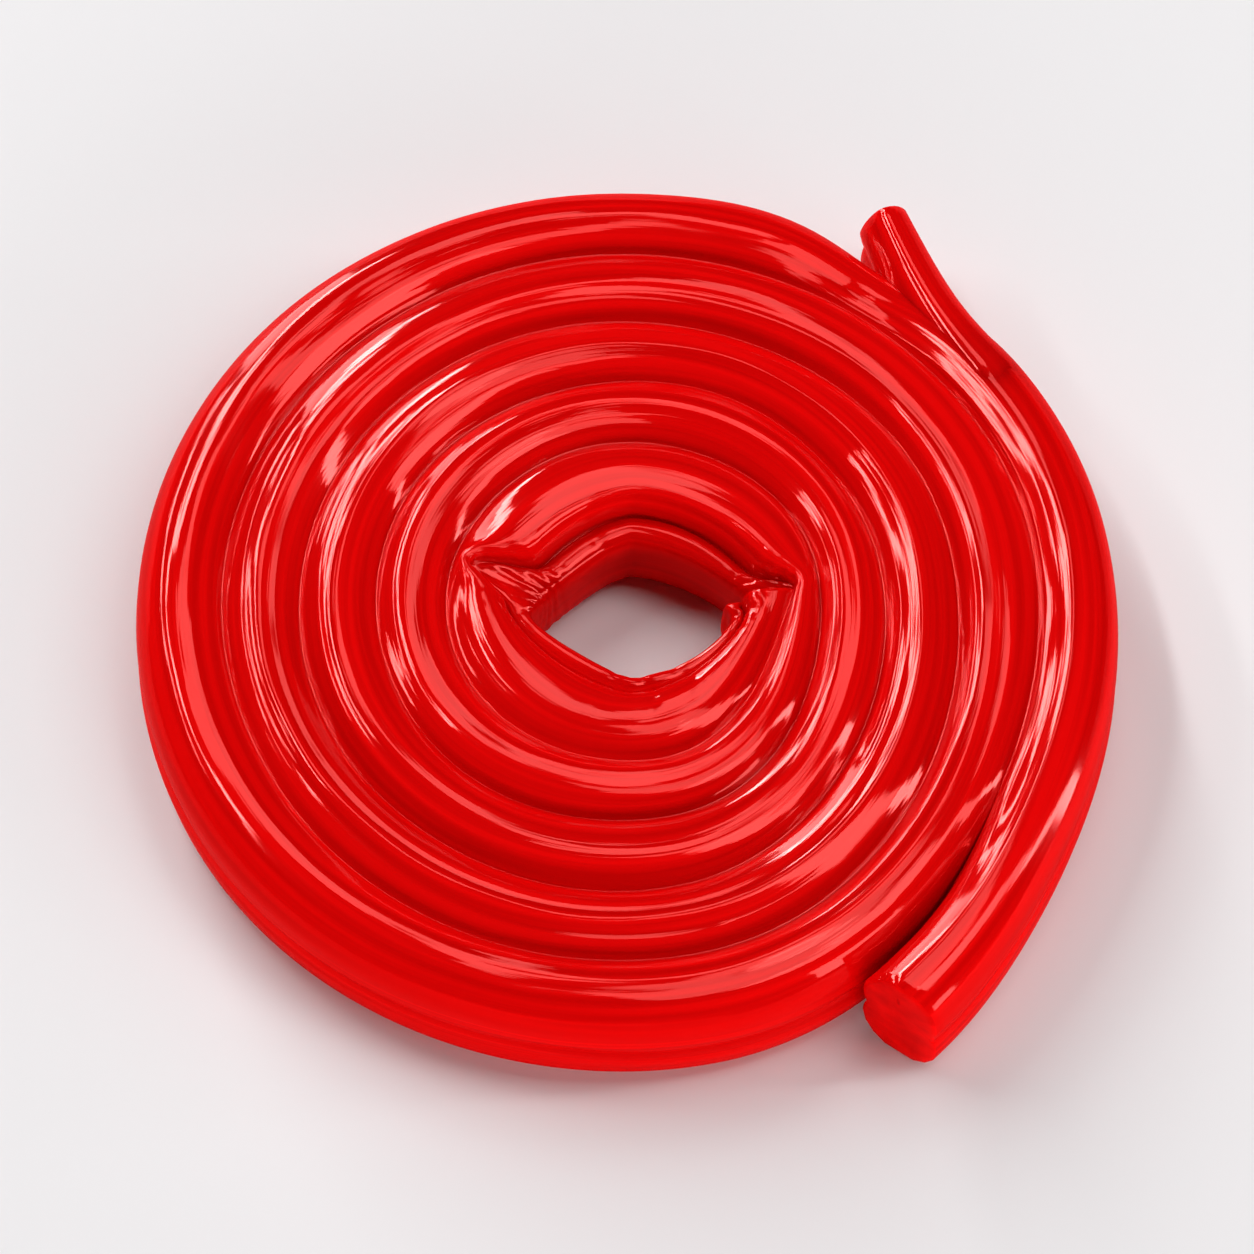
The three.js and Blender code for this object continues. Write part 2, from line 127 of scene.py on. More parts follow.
@dataclass(frozen=True)
class HubForm:
    """The hole and the leaning first turn, in millimetres and turns.

    The wrinkle bend is how far a wrinkle strays sideways, in wrinkles, and how fast it does so across the
    strip. The wrinkle fade is where on the top the wrinkles start to fade out, and over which share of it.
    Each kink is a place and a depth.
    """

    half_width: float = 5.6
    half_depth: float = 3.95
    shift: tuple[float, float] = (0.5, 0.35)
    sharpness: float = 1.32
    crease_turns: tuple[float, float] = (0.56, 1.0)
    crease_width: float = 0.026
    crease_reach: float = 8.6
    start_step: tuple[float, float] = (-0.2, 0.12)
    start_fade: float = 0.08
    start_drop: float = 0.5
    start_length: float = 0.22
    lean_span: tuple[float, float] = (0.92, 1.22)
    waist_shares: tuple[float, float] = (0.2, 0.31)
    waist_place: float = math.radians(40.0)
    lower_top: float = 5.2
    lower_power: float = 4.0
    crease_height: float = 6.2
    crease_power: int = 3
    crest_shifts: tuple[float, float] = (0.03, -0.29)
    crest_flatness: tuple[float, float] = (0.0, 0.5)
    foot: float = 0.55
    wrinkle_sizes: tuple[float, ...] = (0.05, 0.08, 0.08)
    wrinkle_step: float = 0.85
    wrinkle_span: float = 0.04
    wrinkle_bend: tuple[float, float] = (0.5, 5.0)
    wrinkle_fade: tuple[float, float] = (0.25, 0.5)
    kinks: tuple[tuple[float, float], ...] = ((0.161, 0.045), (0.233, 0.065), (0.289, 0.045), (0.7, 0.04))
    kink_width: float = 0.014
    kink_slant: float = 0.03


@dataclass(frozen=True)
class EndForm:
    """The outer end, in millimetres and turns: it peels away from the coil and is cut nearly square.

    A cut face is made of rings, which are shares of its outline. The edge power says how near the edge its
    rounding keeps.
    """

    peel_span: float = 6.0 / 72.0
    peel_gap: float = 0.75
    peel_power: float = 1.5
    flare_span: float = 8.0 / 72.0
    flare: float = 0.75
    flare_power: int = 2
    cut_span: float = 5.0 / 72.0
    cut_slant: float = math.tan(math.radians(24.0))
    release_span: float = 5.0 / 72.0
    edge_round: float = 0.16
    edge_power: int = 8
    ring_shares: tuple[float, ...] = (0.95, 0.86, 0.6, 0.3)


@dataclass(frozen=True)
class TipForm:
    """The short loose tip at the back right, in millimetres and radians round the wheel.

    It leaves the last turn, stands out from the rim and gets thinner. The last turn is tucked in under it.
    Its places are counted on from the turn given, so that the drawn lines run on over it.
    """

    turn: float = 5.0
    span: tuple[float, float] = (math.radians(28.0), math.radians(60.5))
    leaves: float = math.radians(37.0)
    radius: tuple[float, float] = (22.9, 23.3)
    reach: float = 4.0
    bend: float = 2.3
    half_width: tuple[float, float] = (1.98, 1.35)
    rise: float = 0.14
    drop: float = 0.45
    root_share: float = 0.88
    root_drop: float = 0.3
    tuck_angle: float = math.radians(56.0)
    tuck_width: float = math.radians(10.0)
    tuck_down: float = 0.8
    tuck_in: float = 0.7

    def rooted(self, angle: np.ndarray) -> np.ndarray:
        """How deep a place is in the hidden root: 1 at its start, and 0 where the tip leaves."""
        return 1.0 - ease((angle - self.span[0]) / (self.leaves - self.span[0]))

    def share(self, angle: np.ndarray) -> np.ndarray:
        """How far along the open tip a place is, from 0 to 1."""
        return np.clip((angle - self.leaves) / (self.span[1] - self.leaves), 0.0, 1.0)

    def middle(self, angle: np.ndarray) -> np.ndarray:
        """Middle line of the tip, which bends away from the rim by a power of its share.

        Args:
            angle: Directions from the wheel's axis.

        Returns:
            Places in the plane.
        """
        radius = mix(self.radius[1], self.radius[0], self.rooted(angle))
        radius = radius + self.reach * self.share(angle) ** self.bend
        return np.stack([radius * np.cos(angle), radius * np.sin(angle)], axis=-1)


@dataclass(frozen=True)
class CoilForm:
    """How the ribbon is wound, in millimetres and turns from its inner start."""

    start_angle: float = math.radians(6.0)
    turns: float = 373.0 / 72.0
    base_radius: float = 4.55
    pitch: float = 3.13
    pitch_growth: float = 0.118
    climb_share: float = 0.7
    climb_from: float = -0.01
    climb_length: float = 0.25
    rim_shift: tuple[float, float] = (-0.42, -0.3)
    squeeze: float = 0.036
    squeeze_angle: float = math.radians(-33.0)
    squeeze_width: float = math.radians(32.0)
    radius_waves: Waves = ((0.11, 1.31, 0.4), (0.08, 2.17, 2.1), (0.045, 4.63, 5.2))
    height_waves: Waves = ((0.1, 0.83, 1.2), (0.07, 2.71, 3.9), (0.04, 5.37, 0.7))


@dataclass(frozen=True)
class Ripple:
    """One kind of fine relief: smooth random waves that run along the ribbon.

    Lengths are in millimetres: size is the waves' root mean square, along and across are the shortest and
    the longest wavelengths in each direction.
    """

    size: float
    along: tuple[float, float]
    across: tuple[float, float]
    seed: int
    count: int = 28

    def height(self, along: np.ndarray, across: np.ndarray) -> np.ndarray:
        """Work out the relief: the sum of cosine waves with random wavelengths, slants and phases.

        Args:
            along: Millimetres along the ribbon.
            across: Millimetres across it.

        Returns:
            Heights in millimetres, for each pair of places.
        """
        random = np.random.default_rng(self.seed)
        rate_along = random.uniform(1.0 / self.along[1], 1.0 / self.along[0], self.count)
        rate_across = random.uniform(1.0 / self.across[1], 1.0 / self.across[0], self.count)
        rate_across *= random.choice((-1.0, 1.0), self.count)
        phase = random.uniform(0.0, 2.0 * np.pi, self.count)
        total = np.zeros(np.broadcast_shapes(along.shape, across.shape))
        for forward, sideways, start in zip(rate_along, rate_across, phase):
            total += np.cos(2.0 * np.pi * (forward * along + sideways * across) + start)
        return total * self.size * math.sqrt(2.0 / self.count)


@dataclass(frozen=True)
class DrawnLines:
    """Low ridges along the ribbon, as the gum was drawn through its nozzle.

    Each is sharp at its line, fades in and out at its ends, and has hollow sides, so the gum between two of
    them is nearly flat. Sizes are in millimetres: reach is a ridge's half width, lengths are the shortest and
    the longest ridge, drift is how far one strays sideways, and softness rounds its line. The margin is the
    share of the strip's width that stays free at each side, and the fade is a share of a ridge's length.
    """

    size: tuple[float, float]
    reach: float
    lengths: tuple[float, float]
    count: int
    seed: int
    drift: float = 0.3
    softness: float = 0.1
    margin: float = 0.06
    fade: float = 0.4

    def height(self, along: np.ndarray, across: np.ndarray, ribbon: tuple[float, float]) -> np.ndarray:
        """Work out the relief: the sum of the ridges (1 - distance / reach)^2, times the fade along each.

        Args:
            along: Millimetres along the ribbon.
            across: Millimetres across the strip.
            ribbon: The ribbon's length and the strip's width.

        Returns:
            Heights in millimetres, for each pair of places.
        """
        random = np.random.default_rng(self.seed)
        length = random.uniform(*self.lengths, self.count)
        start = random.uniform(-self.lengths[0], ribbon[0], self.count)
        place = random.uniform(self.margin, 1.0 - self.margin, self.count) * ribbon[1]
        drift = random.uniform(-self.drift, self.drift, self.count)
        size = random.uniform(*self.size, self.count)
        total = np.zeros(np.broadcast_shapes(along.shape, across.shape))
        for first, long, middle, slant, high in zip(start, length, place, drift, size):
            share = (along - first) / long
            fade = ease(np.minimum(share, 1.0 - share) / self.fade)
            apart = np.hypot((across - middle - slant * (share - 0.5)) / self.reach, self.softness)
            total += high * fade * np.clip(1.0 + self.softness - apart, 0.0, 1.0) ** 2
        return total


@dataclass
class Strip:
    """A strip of the surface: a grid of point numbers, with a UV place for each."""

    index: np.ndarray
    along: np.ndarray
    across: np.ndarray
    turned: bool

    def faces(self) -> tuple[np.ndarray, np.ndarray]:
        """Cut the strip into four-sided faces.

        Returns:
            Point numbers of each face, and the UV place of each of its corners.
        """
        uv = np.stack(np.broadcast_arrays(self.along, self.across), axis=-1)
        order = ((0, 0), (1, 0), (1, 1), (0, 1))
        if self.turned:
            order = order[::-1]
        rows, columns = self.index.shape
        corners = [(slice(i, rows - 1 + i), slice(j, columns - 1 + j)) for i, j in order]
        quads = np.stack([self.index[c] for c in corners], axis=-1).reshape(-1, 4)
        places = np.stack([uv[c] for c in corners], axis=-2).reshape(-1, 4, 2)
        return quads, places


@dataclass(frozen=True)
class GumFinish:
    """Wet-looking strawberry gum: deep red, faintly see-through, with lines drawn along the ribbon.

    Rates are in waves to a millimetre, along and across the ribbon. Spans are the stretches of the noise over
    which the colour and the roughness change. Depths are in metres.
    """

    deep: tuple[float, float, float] = (0.575, 0.0008, 0.0010)
    bright: tuple[float, float, float] = (0.78, 0.0018, 0.0020)
    glint: tuple[float, float, float] = (1.0, 0.17, 0.155)
    roughness: tuple[float, float] = (0.04, 0.09)
    tint_span: tuple[float, float] = (0.36, 0.64)
    gloss_span: tuple[float, float] = (0.3, 0.7)
    streak_rate: tuple[float, float] = (0.03, 1.8)
    streak_detail: float = 3.0
    swell_rate: tuple[float, float] = (0.1, 0.35)
    swell_detail: float = 2.0
    line_depth: float = 0.00003
    swell_depth: float = 0.00005
    milkiness: float = 0.35
    light_reach: tuple[float, float, float] = (1.0, 0.1, 0.08)
    light_depth: float = 0.0012
    refraction: float = 1.6
    gleam: float = 1.0

    def build(self) -> bpy.types.Material:
        """Make the material.

        Returns:
            A material that reads the ribbon's own UV map, in millimetres along and across it.
        """
        material = bpy.data.materials.new("strawberry_gum_gloss")
        material.use_nodes = True
        nodes = material.node_tree.nodes
        links = material.node_tree.links
        shader = nodes["Principled BSDF"]

        place = nodes.new("ShaderNodeUVMap")
        place.uv_map = UV_NAME

        def noise(rate: tuple[float, float], detail: float) -> bpy.types.Node:
            """Make noise that is stretched along the ribbon.

            Args:
                rate: Its rates along and across the ribbon.
                detail: How many finer octaves it has.

            Returns:
                The noise texture's node.
            """
            stretch = nodes.new("ShaderNodeMapping")
            stretch.inputs["Scale"].default_value = (*rate, 1.0)
            texture = nodes.new("ShaderNodeTexNoise")
            texture.inputs["Scale"].default_value = 1.0
            texture.inputs["Detail"].default_value = detail
            links.new(place.outputs["UV"], stretch.inputs["Vector"])
            links.new(stretch.outputs["Vector"], texture.inputs["Vector"])
            return texture

        streaks = noise(self.streak_rate, self.streak_detail)
        swell = noise(self.swell_rate, self.swell_detail)

        tint = nodes.new("ShaderNodeValToRGB")
        for stop, position, colour in zip(tint.color_ramp.elements, self.tint_span, (self.deep, self.bright)):
            stop.position = position
            stop.color = (*colour, 1.0)
        links.new(streaks.outputs["Fac"], tint.inputs["Fac"])
        links.new(tint.outputs["Color"], shader.inputs["Base Color"])

        gloss = nodes.new("ShaderNodeMapRange")
        gloss.inputs["From Min"].default_value = self.gloss_span[0]
        gloss.inputs["From Max"].default_value = self.gloss_span[1]
        gloss.inputs["To Min"].default_value = self.roughness[0]
        gloss.inputs["To Max"].default_value = self.roughness[1]
        links.new(swell.outputs["Fac"], gloss.inputs["Value"])
        links.new(gloss.outputs["Result"], shader.inputs["Roughness"])

        lines = nodes.new("ShaderNodeBump")
        lines.inputs["Distance"].default_value = self.line_depth
        links.new(streaks.outputs["Fac"], lines.inputs["Height"])
        waves = nodes.new("ShaderNodeBump")
        waves.inputs["Distance"].default_value = self.swell_depth
        links.new(swell.outputs["Fac"], waves.inputs["Height"])
        links.new(lines.outputs["Normal"], waves.inputs["Normal"])
        links.new(waves.outputs["Normal"], shader.inputs["Normal"])

        shader.inputs["Subsurface Weight"].default_value = self.milkiness
        shader.inputs["Subsurface Radius"].default_value = self.light_reach
        shader.inputs["Subsurface Scale"].default_value = self.light_depth
        shader.inputs["IOR"].default_value = self.refraction
        shader.inputs["Specular IOR Level"].default_value = self.gleam
        shader.inputs["Specular Tint"].default_value = (*self.glint, 1.0)
        return material


@dataclass
class LicoriceWheel:
    """The wheel: one ribbon, wound into a coil and built as one closed surface.

    The mean radius gives the ribbon's rough length. The edge fade is the share of a strip over which its
    relief fades out, and the cut mottle scales a cut's radii and heights into UV places.
    """

    ribbon: RibbonForm = field(default_factory=RibbonForm)
    hub: HubForm = field(default_factory=HubForm)
    end: EndForm = field(default_factory=EndForm)
    tip: TipForm = field(default_factory=TipForm)
    coil: CoilForm = field(default_factory=CoilForm)
    finish: GumFinish = field(default_factory=GumFinish)
    ripples: tuple[Ripple, ...] = (
        Ripple(size=0.012, along=(20.0, 90.0), across=(1.3, 3.4), seed=11),
        Ripple(size=0.011, along=(7.0, 18.0), across=(2.5, 6.0), seed=13),
    )
    lines: tuple[DrawnLines, ...] = (
        DrawnLines(size=(0.04, 0.1), reach=0.8, lengths=(90.0, 220.0), count=14, seed=21),
        DrawnLines(size=(0.01, 0.03), reach=0.35, lengths=(30.0, 90.0), count=34, seed=22),
    )
    mean_radius: float = 15.0
    strip_width: float = 4.4
    edge_fade: float = 0.1
    cut_mottle: tuple[float, float] = (20.0, 0.4)
    steps_per_turn: int = 240
    top_points: int = 55
    under_points: int = 7
    wall_points: int = 17
    hub_points: int = 25
    tip_steps: int = 40
    tip_points: int = 44
    table_steps: int = 1200

    def angle(self, turn: np.ndarray) -> np.ndarray:
        """Direction of a place along the ribbon, in radians counter-clockwise from +X."""
        return self.coil.start_angle - 2.0 * np.pi * turn

    def hole_radius(self, turn: np.ndarray) -> np.ndarray:
        """Distance from the axis to the hole's side on the first turn.

        The formula is a superellipse in polar form, times a factor that steps where the ribbon starts, plus
        a small shift off the axis.

        Args:
            turn: Places along the ribbon, up to 1.

        Returns:
            Radii in millimetres.
        """
        hub = self.hub
        angle = self.angle(turn)
        across = np.abs(np.cos(angle) / hub.half_width) ** hub.sharpness
        along = np.abs(np.sin(angle) / hub.half_depth) ** hub.sharpness
        first, last = hub.start_step
        step = first * np.exp(-turn / hub.start_fade) + last * np.exp((turn - 1.0) / hub.start_fade)
        shift = hub.shift[0] * np.cos(angle) + hub.shift[1] * np.sin(angle)
        return (across + along) ** (-1.0 / hub.sharpness) * (1.0 + step) + shift

    def crease(self, turn: np.ndarray) -> np.ndarray:
        """How much of a pinched corner there is at a place on the first turn, from 0 to 1."""
        bells = [bell(turn - place, self.hub.crease_width) for place in self.hub.crease_turns]
        return np.where(turn > 1.0, 0.0, np.maximum(*bells))

    def waves(self, waves: Waves, turn: np.ndarray) -> np.ndarray:
        """Sum of named sine waves, which fades in over one turn."""
        total = sum(size * np.sin(2.0 * np.pi * rate * turn + phase) for size, rate, phase in waves)
        return total * ease(turn)

    def spiral_radius(self, turn: np.ndarray) -> np.ndarray:
        """Radius of the coil's groove, were it not for the hole.

        The groove grows by a quadratic in the turns counted. Most of each turn's growth is made where the
        ribbon climbs over its own start. The turns are squeezed a little beside it, and the rim is shifted.

        Args:
            turn: Places along the ribbon.

        Returns:
            Radii in millimetres.
        """
        coil = self.coil
        whole = np.floor(turn - coil.climb_from)
        climbed = whole + ease((turn - coil.climb_from - whole) / coil.climb_length)
        count = mix(turn, climbed - 0.5, coil.climb_share)
        angle = self.angle(turn)
        even = coil.base_radius + coil.pitch * count + coil.pitch_growth * count * count
        outwards = np.clip(count / coil.turns, 0.0, 1.0)
        shift = outwards * (coil.rim_shift[0] * np.cos(angle) + coil.rim_shift[1] * np.sin(angle))
        apart = np.mod(angle - coil.squeeze_angle + np.pi, 2.0 * np.pi) - np.pi
        squeeze = 1.0 - coil.squeeze * bell(apart, coil.squeeze_width)
        return even * squeeze + shift + self.waves(coil.radius_waves, turn - 1.0)

    def groove_radius(self, turn: np.ndarray) -> np.ndarray:
        """Radius of the groove on the ribbon's inner side, which is the hole's edge on the first turn.

        After the first turn, the step between the hole's edge and the coil fades by an exponential.

        Args:
            turn: Places along the ribbon.

        Returns:
            Radii in millimetres.
        """
        reach = self.hub.crease_reach
        start = np.minimum(turn, 1.0)
        first = mix(self.hole_radius(start), reach, self.crease(start))
        one = np.array(1.0)
        step = mix(self.hole_radius(one), reach, self.crease(one)) - self.spiral_radius(one)
        later = self.spiral_radius(turn) + step * np.exp(np.minimum(1.0 - turn, 0.0) / self.hub.start_fade)
        return np.where(turn <= 1.0, first, later)

    def foot_radius(self, turn: np.ndarray) -> np.ndarray:
        """Radius of the same groove on the underside, where the hole has no corners.

        Args:
            turn: Places along the ribbon.

        Returns:
            Radii in millimetres.
        """
        hub = self.hub
        one = np.array(1.0)
        gap = self.groove_radius(one) - self.hole_radius(one) - hub.foot
        later = self.groove_radius(turn) - gap * np.exp(np.minimum(1.0 - turn, 0.0) / hub.start_fade)
        return np.where(turn <= 1.0, self.hole_radius(np.minimum(turn, 1.0)) + hub.foot, later)

    def lean(self, turn: np.ndarray) -> np.ndarray:
        """How much the ribbon leans: 1 in the first turn, and 0 once it stands upright."""
        first, last = self.hub.lean_span
        return 1.0 - ease((turn - first) / (last - first))

    def crest_height(self, turn: np.ndarray) -> np.ndarray:
        """Height of the ribbon's crest, which is lower at its squashed start."""
        drop = self.hub.start_drop * (1.0 - ease(turn / self.hub.start_length))
        return self.ribbon.height - drop + self.waves(self.coil.height_waves, turn)

    def lower_cord(self) -> tuple[float, float]:
        """Give the first turn's lower cord: the height of its middle, and half its height."""
        bottom = self.ribbon.groove_depth - self.ribbon.land_depth
        return (self.hub.lower_top + bottom) / 2.0, (self.hub.lower_top - bottom) / 2.0

    def lower_outline(self, angle: np.ndarray) -> tuple[np.ndarray, np.ndarray]:
        """Places round the first turn's lower cord, as shares of its half width and its half height.

        The upper side is a superellipse, c / (|c|^n + |s|^n)^(1/n), which is flat on top. The rest is an
        ellipse.

        Args:
            angle: Angles round the cord, from straight outwards.

        Returns:
            Places across and up.
        """
        across, up = np.cos(angle), np.sin(angle)
        power = np.where(up > 0.0, self.hub.lower_power, 2.0)
        size = (np.abs(across) ** power + np.abs(up) ** power) ** (-1.0 / power)
        return across * size, up * size

    def waist_height(self) -> float:
        """Height at which the first turn's upper cord meets its lower one."""
        middle, half = self.lower_cord()
        return middle + half * float(self.lower_outline(np.array(self.hub.waist_place))[1])

    def far_share(self, turn: np.ndarray) -> np.ndarray:
        """How far towards the back a place is: 0 at the front and 1 at the back."""
        return 0.5 + 0.5 * np.sin(self.angle(turn))

    def groove_height(self, turn: np.ndarray) -> np.ndarray:
        """Height of the inner groove, which is the waist between the cords in the first turn.

        Args:
            turn: Places along the ribbon.

        Returns:
            Heights in millimetres.
        """
        hub = self.hub
        first = mix(self.waist_height(), hub.crease_height, self.crease(turn))
        later = mix(self.crest_height(turn) - self.ribbon.groove_depth, hub.crease_height, self.lean(turn))
        return np.where(turn <= 1.0, first, later)

    def tuck(self, turn: np.ndarray) -> np.ndarray:
        """How much the last turn is tucked in under the loose tip, from 0 to 1."""
        apart = np.mod(self.angle(turn) - self.tip.tuck_angle + np.pi, 2.0 * np.pi) - np.pi
        return np.where(turn < self.coil.turns - 1.0, 0.0, bell(apart, self.tip.tuck_width))

    def sections(self, turn: np.ndarray) -> Sections:
        """Radii and heights that shape the ribbon's cross-sections.

        Args:
            turn: Places along the ribbon.

        Returns:
            One column of values for each name.
        """
        ribbon, end, hub = self.ribbon, self.end, self.hub
        last = self.coil.turns
        peel_start = last - end.peel_span
        in_hub = turn <= 1.0
        peel_share = np.clip((turn - peel_start) / end.peel_span, 0.0, 1.0)
        peel = end.peel_gap * peel_share**end.peel_power
        flare_share = np.clip((turn - last + end.flare_span) / end.flare_span, 0.0, 1.0)
        flare = end.flare * flare_share**end.flare_power
        tuck = self.tuck(turn)
        outwards = flare - self.tip.tuck_in * tuck
        edge = self.groove_radius(turn) + peel
        outer = self.groove_radius(turn + 1.0) + outwards
        inner_free = ease((turn - peel_start) / end.release_span)
        outer_free = ease((turn - peel_start + 1.0) / end.release_span)
        crest = self.crest_height(turn) - self.tip.tuck_down * tuck
        crease = self.crease(turn)
        far = self.far_share(turn)
        waist = mix(edge, outer, mix(*hub.waist_shares, far))
        open_top = crest - ribbon.cord_radius
        pressed_under = ribbon.groove_depth - ribbon.land_depth
        open_under = ribbon.cord_radius - ribbon.land_depth
        values = {
            "turn": turn,
            "inner": np.where(in_hub, mix(waist, edge, crease), edge),
            "outer": outer,
            "hole": np.where(in_hub, self.hole_radius(np.minimum(turn, 1.0)), edge),
            "middle": (edge + outer) / 2.0,
            "foot": self.foot_radius(turn) + peel,
            "outer_foot": self.foot_radius(turn + 1.0) + outwards,
            "crest": crest,
            "crest_share": 0.5 + mix(*hub.crest_shifts, far) * self.lean(turn),
            "flatness": mix(*hub.crest_flatness, far) * self.lean(turn),
            "inner_free": inner_free,
            "outer_free": outer_free,
            "inner_round": np.maximum(inner_free, self.lean(turn)),
            "inner_top": mix(self.groove_height(turn), open_top, inner_free),
            "outer_top": mix(self.groove_height(turn + 1.0), open_top, outer_free),
            "inner_under": mix(pressed_under, open_under, inner_free),
            "outer_under": mix(pressed_under, open_under, outer_free),
        }
        steps = 2.0 * np.pi * np.diff(turn) * values["middle"][1:]
        values["along"] = np.concatenate([[0.0], np.cumsum(steps)])
        return {name: np.asarray(value)[:, None] for name, value in values.items()}

    def points(self, s: Sections, radius: np.ndarray, height: np.ndarray) -> np.ndarray:
        """Turn radii and heights into points, with the cut end slanted.

        In the last steps, points outside the ribbon's middle stay back, and points inside it run on.

        Args:
            s: The sections.
            radius: Radii of a grid of points, one row for each section.
            height: Heights of the same points.

        Returns:
            Points in millimetres, as a grid of rows.
        """
        radius, height = np.broadcast_arrays(radius, height)
        share = ease((s["turn"] - self.coil.turns + self.end.cut_span) / self.end.cut_span)
        back = share * self.end.cut_slant * (radius - s["middle"]) / radius
        angle = self.angle(s["turn"]) + back
        return np.stack([radius * np.cos(angle), radius * np.sin(angle), height], axis=-1)

    def relief(self, along: np.ndarray, across: np.ndarray) -> np.ndarray:
        """Height of the fine relief: the ripples and the drawn lines.

        Args:
            along: Millimetres along the ribbon, for each row.
            across: Millimetres across it, for each column.

        Returns:
            Heights in millimetres.
        """
        size = (2.0 * np.pi * self.coil.turns * self.mean_radius, self.strip_width)
        ripples = sum(ripple.height(along, across) for ripple in self.ripples)
        return ripples + sum(line.height(along, np.mod(across, size[1]), size) for line in self.lines)

    def raised(self, grid: np.ndarray, height: np.ndarray) -> np.ndarray:
        """Move points along their normals: the cross product of the grid's two slopes.

        Args:
            grid: Points.
            height: How far each is moved. It is negative where the grid's columns run inwards.

        Returns:
            The moved points.
        """
        normal = np.cross(np.gradient(grid, axis=0), np.gradient(grid, axis=1))
        normal /= np.maximum(np.linalg.norm(normal, axis=-1, keepdims=True), TINY)
        return grid + normal * height[..., None]

    def wrinkles(self, s: Sections, columns: np.ndarray) -> np.ndarray:
        """Height of the short folds across the first turn.

        Waves across the ribbon, which grow towards the pinched corners, and a few single kinks elsewhere.

        Args:
            s: The sections.
            columns: Share of the way across the strip, for each column.

        Returns:
            Heights in millimetres.
        """
        hub = self.hub
        turn = s["turn"]
        places = zip((*hub.crease_turns, 0.0), hub.wrinkle_sizes)
        near = sum(size * bell(turn - place, hub.wrinkle_span) for place, size in places)
        sideways, rate = hub.wrinkle_bend
        bent = s["along"] / hub.wrinkle_step + sideways * np.sin(rate * columns + s["along"])
        total = near * np.cos(2.0 * np.pi * bent)
        for place, depth in hub.kinks:
            total = total - depth * bell(turn - place - hub.kink_slant * columns, hub.kink_width)
        return np.where(turn > 1.0, 0.0, total)

    def finished(self, s: Sections, grid: np.ndarray, face: Face) -> np.ndarray:
        """Add the fine relief to a strip of the coil.

        The relief fades out towards the grid's first and last columns, which other grids share.

        Args:
            s: The sections.
            grid: Points, with both shared edge columns.
            face: Where in the UV map the grid lies.

        Returns:
            The points without the two edge columns.
        """
        columns = self.columns(s, grid.shape[1], face)
        height = self.relief(s["along"], (face.value + columns) * self.strip_width)
        if face is Face.INNER:
            height = height + self.wrinkles(s, columns)
        elif face is Face.TOP:
            first, span = self.hub.wrinkle_fade
            height = height + self.wrinkles(s, columns) * (1.0 - ease((columns - first) / span))
        side = 1.0 if face in (Face.TOP, Face.OUTER) else -1.0
        fade = ease(np.minimum(columns, 1.0 - columns) / self.edge_fade)
        return self.raised(grid, side * fade * height)[:, 1:-1]

    def columns(self, s: Sections, count: int, face: Face) -> np.ndarray:
        """Work out where the columns of a strip lie.

        Args:
            s: The sections.
            count: How many columns there are.
            face: Which strip it is.

        Returns:
            Each column's share of the way across.
        """
        if face is Face.TOP:
            return (1.0 + self.top_sides(s)) / 2.0
        return np.linspace(0.0, 1.0, count)[None, :]

    def top_sides(self, s: Sections) -> np.ndarray:
        """Places of the top's columns: -1 at the inner edge, 0 at the crest and 1 at the outer edge.

        They are evenly spaced across a pressed side, and by equal angles across a round one.

        Args:
            s: The sections.

        Returns:
            A grid of places, with the two edges.
        """
        even = np.linspace(-1.0, 1.0, self.top_points + 2)[None, :]
        round_share = np.where(even < 0.0, s["inner_round"], s["outer_free"])
        return mix(even, np.sin(even * np.pi / 2.0), round_share)

    def top_grid(self, s: Sections) -> np.ndarray:
        """Points over the top: an arc from the crest to each edge.

        Args:
            s: The sections.

        Returns:
            A grid of points, with the two edges.
        """
        side = self.top_sides(s)
        round_share = np.where(side < 0.0, s["inner_round"], s["outer_free"])
        crest_radius = mix(s["inner"], s["outer"], s["crest_share"])
        radius = mix(crest_radius, np.where(side < 0.0, s["inner"], s["outer"]), np.abs(side))
        edge = np.where(side < 0.0, s["inner_top"], s["outer_top"])
        flatter = np.where(side < 0.0, 1.0 + s["flatness"], 1.0)
        drop = self.ribbon.arc_drop(np.abs(side) ** flatter, round_share)
        return self.points(s, radius, mix(s["crest"], edge, drop))

    def under_grid(self, s: Sections) -> np.ndarray:
        """Points over the underside, which rests on a narrow flat strip.

        Args:
            s: The sections.

        Returns:
            A grid of points, without the two edges.
        """
        angle = np.linspace(-np.pi / 2.0, np.pi / 2.0, self.under_points + 2)[None, 1:-1]
        side = np.sin(angle)
        middle = mix(s["foot"], s["outer_foot"], 0.5)
        radius = mix(middle, np.where(side < 0.0, s["foot"], s["outer_foot"]), np.abs(side))
        edge = np.where(side < 0.0, s["inner_under"], s["outer_under"])
        flat = math.cos(self.ribbon.land_angle)
        return self.points(s, radius, edge * np.maximum(0.0, flat - np.cos(angle)) / flat)

